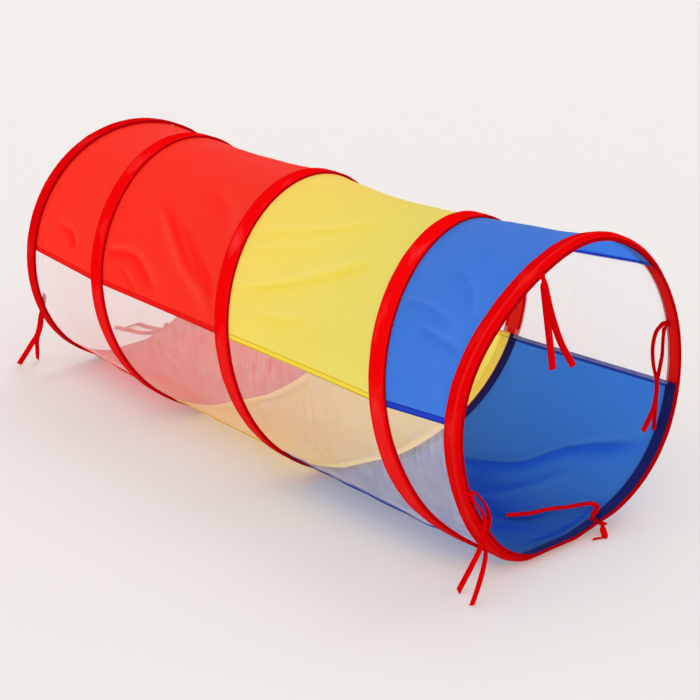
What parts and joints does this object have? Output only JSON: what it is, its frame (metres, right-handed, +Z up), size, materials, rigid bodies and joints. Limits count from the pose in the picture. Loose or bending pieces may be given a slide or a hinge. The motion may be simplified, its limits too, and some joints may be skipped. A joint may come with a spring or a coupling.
{
  "type": "play tunnel",
  "caption": "Cloth crawl-through play tunnel held open by a spring coil and end rings, with net windows, taped turns and ribbon ties; folds flat along its length.",
  "frame": {"origin": "on the floor under the middle of the open tunnel, ties left out", "axes": "+X towards the front (blue) opening, +Y towards the far side, +Z up"},
  "size_m": [1.3148, 0.5006, 0.4775],
  "materials": {
    "blue_cloth": "thin woven polyester with a soft sheen",
    "yellow_cloth": "thin woven polyester with a soft sheen",
    "red_cloth": "thin woven polyester with a soft sheen",
    "white_net": "fine clear netting",
    "red_tape": "folded binding tape",
    "red_ribbon": "narrow ribbon",
    "spring_steel": "drawn spring wire",
    "sleeve_steel": "crimped tube",
    "cap_plastic": "moulded cap"
  },
  "bodies": {
    "front_end": {"front_ring_wire": "spring_steel", "front_ring_sleeve": "sleeve_steel", "front_ring_tape": "red_tape", "front_top_tie": "red_ribbon", "front_far_tie": "red_ribbon", "front_floor_tie": "red_ribbon", "front_near_tie": "red_ribbon"},
    "back_end": {"back_ring_wire": "spring_steel", "back_ring_sleeve": "sleeve_steel", "back_ring_tape": "red_tape", "back_near_tie": "red_ribbon", "back_floor_tie": "red_ribbon"},
    "coil": {"coil_wire": "spring_steel", "coil_front_cap": "cap_plastic", "coil_back_cap": "cap_plastic", "coil_tape": "red_tape"},
    "blue_bay": {"blue_near_window": "white_net", "blue_top_panel": "blue_cloth", "blue_far_window": "white_net", "blue_floor_panel": "blue_cloth"},
    "yellow_bay": {"yellow_near_window": "white_net", "yellow_top_panel": "yellow_cloth", "yellow_far_window": "white_net", "yellow_floor_panel": "yellow_cloth"},
    "red_bay": {"red_near_window": "white_net", "red_top_panel": "red_cloth", "red_far_window": "white_net", "red_floor_panel": "red_cloth"},
    "tail_bay": {"tail_near_window": "white_net", "tail_top_panel": "red_cloth", "tail_far_window": "white_net", "tail_floor_panel": "red_cloth"}
  },
  "joints": [
    {"name": "tunnel_fold", "type": "slide", "parent": "front_end", "child": "back_end", "axis": [1, 0, 0], "range_m": [0, 1.08], "stiffness_N_per_m": 15, "springref_m": -0.2},
    {"name": "blue_fold", "type": "slide", "parent": "front_end", "child": "blue_bay", "axis": [1, 0, 0], "range_m": [0, 0.1615], "deforming": ["blue_near_window", "blue_top_panel", "blue_far_window", "blue_floor_panel"]},
    {"name": "yellow_fold", "type": "slide", "parent": "front_end", "child": "yellow_bay", "axis": [1, 0, 0], "range_m": [0, 0.3952], "deforming": ["yellow_near_window", "yellow_top_panel", "yellow_far_window", "yellow_floor_panel"]},
    {"name": "coil_fold", "type": "slide", "parent": "front_end", "child": "coil", "axis": [1, 0, 0], "range_m": [0, 0.5432], "deforming": ["coil_wire", "coil_front_cap", "coil_back_cap", "coil_tape"]},
    {"name": "red_fold", "type": "slide", "parent": "front_end", "child": "red_bay", "axis": [1, 0, 0], "range_m": [0, 0.734], "deforming": ["red_near_window", "red_top_panel", "red_far_window", "red_floor_panel"]},
    {"name": "tail_fold", "type": "slide", "parent": "front_end", "child": "tail_bay", "axis": [1, 0, 0], "range_m": [0, 0.9725], "deforming": ["tail_near_window", "tail_top_panel", "tail_far_window", "tail_floor_panel"]}
  ],
  "couplings": [
    {"joint": "blue_fold", "follows": "tunnel_fold", "ratio": 0.1491},
    {"joint": "yellow_fold", "follows": "tunnel_fold", "ratio": 0.3655},
    {"joint": "coil_fold", "follows": "tunnel_fold", "ratio": 0.5025},
    {"joint": "red_fold", "follows": "tunnel_fold", "ratio": 0.6792},
    {"joint": "tail_fold", "follows": "tunnel_fold", "ratio": 0.9}
  ]
}
